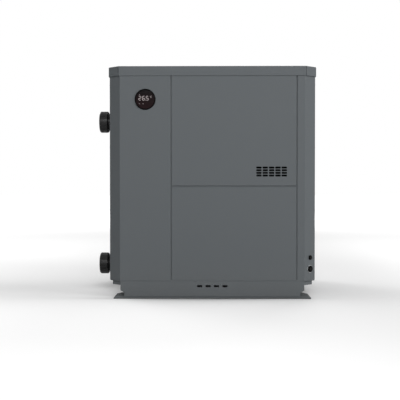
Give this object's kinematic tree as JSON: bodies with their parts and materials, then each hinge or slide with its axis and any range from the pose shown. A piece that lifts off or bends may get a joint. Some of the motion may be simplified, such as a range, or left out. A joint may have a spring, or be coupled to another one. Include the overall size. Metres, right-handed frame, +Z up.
{
  "type": "pool heat pump",
  "caption": "Upright pool heat pump: grey sheet-steel cabinet with roof fan, wrap-round coil, round controller and side water unions.",
  "frame": {"origin": "centre of the bounding box at floor level", "axes": "+Z up, -Y out of the front with the controller, -X out of the side with the water unions"},
  "size_m": [0.9356, 0.882, 0.9993],
  "materials": {
    "grey_powder_coat": "fine satin powder coat",
    "black_plastic": "moulded satin black",
    "smoked_glass": "polished dark glass",
    "galvanised_steel": "dull zinc spangle",
    "coil_fins": "bare fins",
    "black_wire": "plastic-coated wire",
    "fan_plastic": "moulded matt black",
    "motor_paint": "black motor enamel"
  },
  "bodies": {
    "root": {"top_cover": "grey_powder_coat", "left_front_panel": "grey_powder_coat", "upper_service_panel": "grey_powder_coat", "lower_service_panel": "grey_powder_coat", "right_front_post": "grey_powder_coat", "right_rear_post": "grey_powder_coat", "left_rear_post": "grey_powder_coat", "left_side_panel": "grey_powder_coat", "right_side_panel": "grey_powder_coat", "base_pan": "grey_powder_coat", "front_foot_rail": "grey_powder_coat", "rear_foot_rail": "grey_powder_coat", "panel_cross_rail": "grey_powder_coat", "compressor_compartment": "galvanised_steel", "fan_shroud": "galvanised_steel", "motor_bracket": "galvanised_steel", "evaporator_coil": "coil_fins", "left_coil_guard": "black_wire", "right_coil_guard": "black_wire", "rear_coil_guard": "black_wire", "fan_guard": "black_wire", "fan_rotor": "fan_plastic", "fan_motor": "motor_paint", "controller_bezel": "black_plastic", "controller_glass": "smoked_glass", "upper_wall_collar": "black_plastic", "upper_pipe_socket": "black_plastic", "upper_union_nut": "black_plastic", "upper_cable_gland": "black_plastic", "lower_wall_collar": "black_plastic", "lower_pipe_socket": "black_plastic", "lower_union_nut": "black_plastic", "lower_cable_gland": "black_plastic"}
  },
  "joints": []
}
